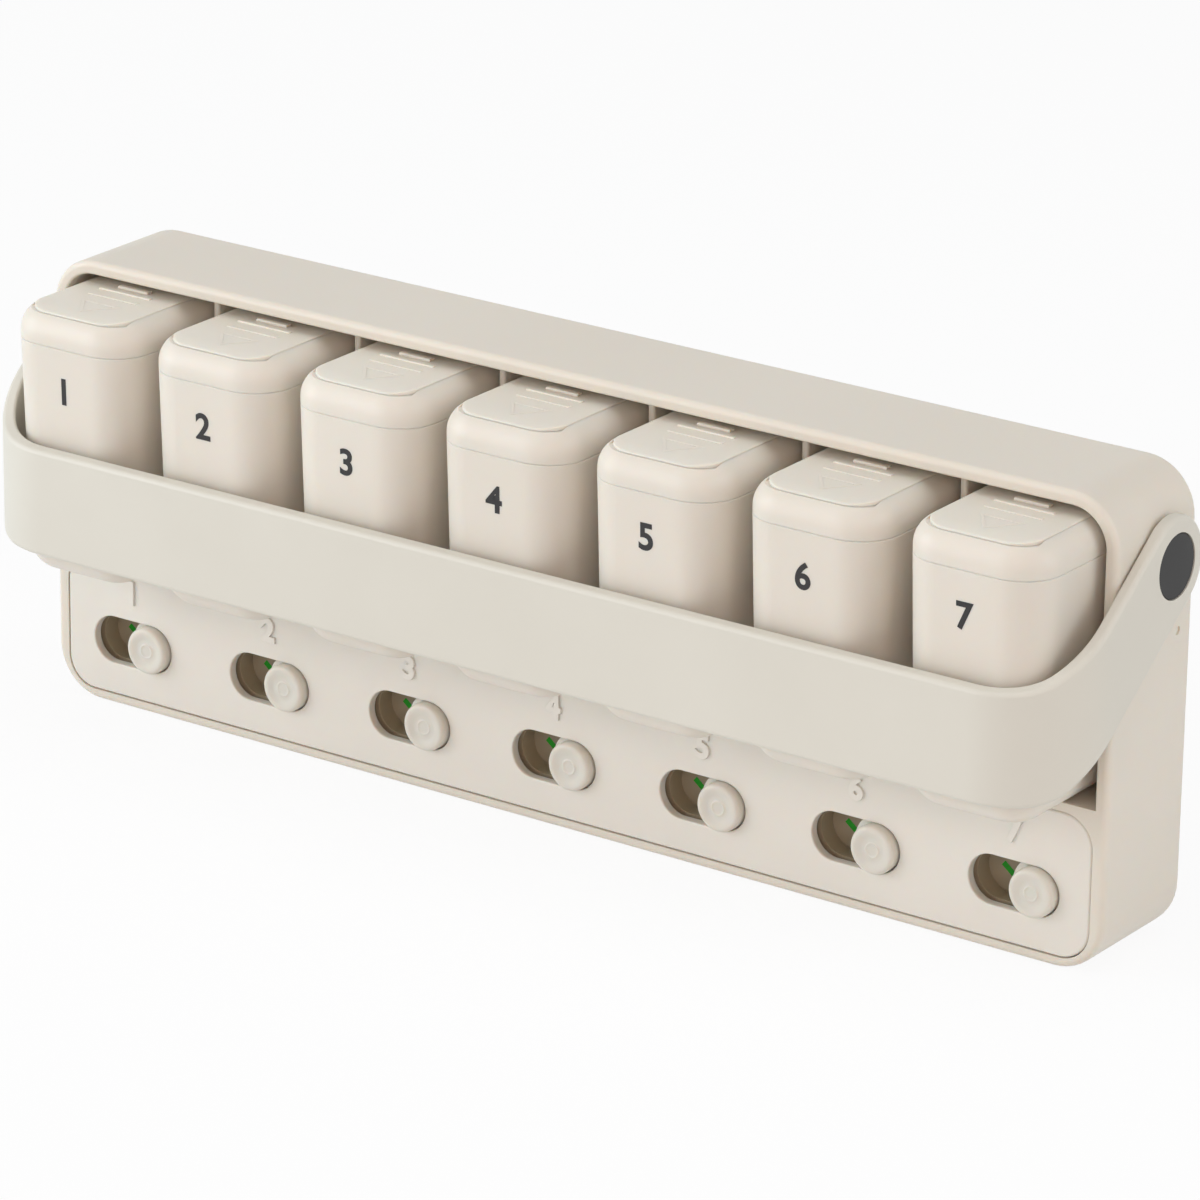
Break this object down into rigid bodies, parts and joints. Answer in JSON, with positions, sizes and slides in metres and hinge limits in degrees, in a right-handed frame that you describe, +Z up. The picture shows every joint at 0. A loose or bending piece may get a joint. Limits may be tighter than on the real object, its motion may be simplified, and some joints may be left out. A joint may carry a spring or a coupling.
{
  "type": "pill organizer",
  "caption": "Weekly pill organizer: tall lidded pods stand in a shallow case behind a swing-up guard bar, over a panel of tick-off sliders.",
  "frame": {"origin": "middle of the object's box, at the level of the surface it stands on", "axes": "+X along the case to the right as seen from the front, +Y to the back, +Z up"},
  "size_m": [0.2404, 0.05, 0.0882],
  "materials": {
    "case_plastic": "satin",
    "pod_plastic": "satin",
    "guard_plastic": "satin",
    "slider_plastic": "satin",
    "tray_plastic": "satin",
    "pin_plastic": "satin",
    "screw_steel": "zinc plated"
  },
  "bodies": {
    "case": {"case_shell": "case_plastic", "front_panel": "case_plastic", "slider_tray": "tray_plastic", "panel_screws": "screw_steel", "pivot_pin_left": "pin_plastic", "pivot_pin_right": "pin_plastic"},
    "guard": {"guard_band": "guard_plastic", "guard_corner_left": "guard_plastic", "guard_corner_right": "guard_plastic", "guard_arm_left": "guard_plastic", "guard_arm_right": "guard_plastic"},
    "slider_sun": {"slider_knob_sun": "slider_plastic"},
    "pod_sun": {"pod_cup_sun": "pod_plastic", "pod_cap_sun": "pod_plastic"},
    "lid_sun": {"pod_lid_sun": "pod_plastic"},
    "slider_mon": {"slider_knob_mon": "slider_plastic"},
    "pod_mon": {"pod_cup_mon": "pod_plastic", "pod_cap_mon": "pod_plastic"},
    "lid_mon": {"pod_lid_mon": "pod_plastic"},
    "slider_tue": {"slider_knob_tue": "slider_plastic"},
    "pod_tue": {"pod_cup_tue": "pod_plastic", "pod_cap_tue": "pod_plastic"},
    "lid_tue": {"pod_lid_tue": "pod_plastic"},
    "slider_wed": {"slider_knob_wed": "slider_plastic"},
    "pod_wed": {"pod_cup_wed": "pod_plastic", "pod_cap_wed": "pod_plastic"},
    "lid_wed": {"pod_lid_wed": "pod_plastic"},
    "slider_thu": {"slider_knob_thu": "slider_plastic"},
    "pod_thu": {"pod_cup_thu": "pod_plastic", "pod_cap_thu": "pod_plastic"},
    "lid_thu": {"pod_lid_thu": "pod_plastic"},
    "slider_fri": {"slider_knob_fri": "slider_plastic"},
    "pod_fri": {"pod_cup_fri": "pod_plastic", "pod_cap_fri": "pod_plastic"},
    "lid_fri": {"pod_lid_fri": "pod_plastic"},
    "slider_sat": {"slider_knob_sat": "slider_plastic"},
    "pod_sat": {"pod_cup_sat": "pod_plastic", "pod_cap_sat": "pod_plastic"},
    "lid_sat": {"pod_lid_sat": "pod_plastic"}
  },
  "joints": [
    {"name": "guard_swing", "type": "hinge", "parent": "case", "child": "guard", "pos_m": [0, 0.01353, 0.0728], "axis": [-1, 0, 0], "range_deg": [0, 120]},
    {"name": "slider_sun_slide", "type": "slide", "parent": "case", "child": "slider_sun", "axis": [-1, 0, 0], "range_m": [0, 0.0088]},
    {"name": "pod_sun_slide", "type": "slide", "parent": "case", "child": "pod_sun", "axis": [0, -1, 0], "range_m": [0, 0.0008]},
    {"name": "lid_sun_slide", "type": "slide", "parent": "pod_sun", "child": "lid_sun", "axis": [0, -1, 0], "range_m": [0, 0.0175]},
    {"name": "slider_mon_slide", "type": "slide", "parent": "case", "child": "slider_mon", "axis": [-1, 0, 0], "range_m": [0, 0.0088]},
    {"name": "pod_mon_slide", "type": "slide", "parent": "case", "child": "pod_mon", "axis": [0, -1, 0], "range_m": [0, 0.0008]},
    {"name": "lid_mon_slide", "type": "slide", "parent": "pod_mon", "child": "lid_mon", "axis": [0, -1, 0], "range_m": [0, 0.0175]},
    {"name": "slider_tue_slide", "type": "slide", "parent": "case", "child": "slider_tue", "axis": [-1, 0, 0], "range_m": [0, 0.0088]},
    {"name": "pod_tue_slide", "type": "slide", "parent": "case", "child": "pod_tue", "axis": [0, -1, 0], "range_m": [0, 0.0008]},
    {"name": "lid_tue_slide", "type": "slide", "parent": "pod_tue", "child": "lid_tue", "axis": [0, -1, 0], "range_m": [0, 0.0175]},
    {"name": "slider_wed_slide", "type": "slide", "parent": "case", "child": "slider_wed", "axis": [-1, 0, 0], "range_m": [0, 0.0088]},
    {"name": "pod_wed_slide", "type": "slide", "parent": "case", "child": "pod_wed", "axis": [0, -1, 0], "range_m": [0, 0.0008]},
    {"name": "lid_wed_slide", "type": "slide", "parent": "pod_wed", "child": "lid_wed", "axis": [0, -1, 0], "range_m": [0, 0.0175]},
    {"name": "slider_thu_slide", "type": "slide", "parent": "case", "child": "slider_thu", "axis": [-1, 0, 0], "range_m": [0, 0.0088]},
    {"name": "pod_thu_slide", "type": "slide", "parent": "case", "child": "pod_thu", "axis": [0, -1, 0], "range_m": [0, 0.0008]},
    {"name": "lid_thu_slide", "type": "slide", "parent": "pod_thu", "child": "lid_thu", "axis": [0, -1, 0], "range_m": [0, 0.0175]},
    {"name": "slider_fri_slide", "type": "slide", "parent": "case", "child": "slider_fri", "axis": [-1, 0, 0], "range_m": [0, 0.0088]},
    {"name": "pod_fri_slide", "type": "slide", "parent": "case", "child": "pod_fri", "axis": [0, -1, 0], "range_m": [0, 0.0008]},
    {"name": "lid_fri_slide", "type": "slide", "parent": "pod_fri", "child": "lid_fri", "axis": [0, -1, 0], "range_m": [0, 0.0175]},
    {"name": "slider_sat_slide", "type": "slide", "parent": "case", "child": "slider_sat", "axis": [-1, 0, 0], "range_m": [0, 0.0088]},
    {"name": "pod_sat_slide", "type": "slide", "parent": "case", "child": "pod_sat", "axis": [0, -1, 0], "range_m": [0, 0.0008]},
    {"name": "lid_sat_slide", "type": "slide", "parent": "pod_sat", "child": "lid_sat", "axis": [0, -1, 0], "range_m": [0, 0.0175]}
  ]
}
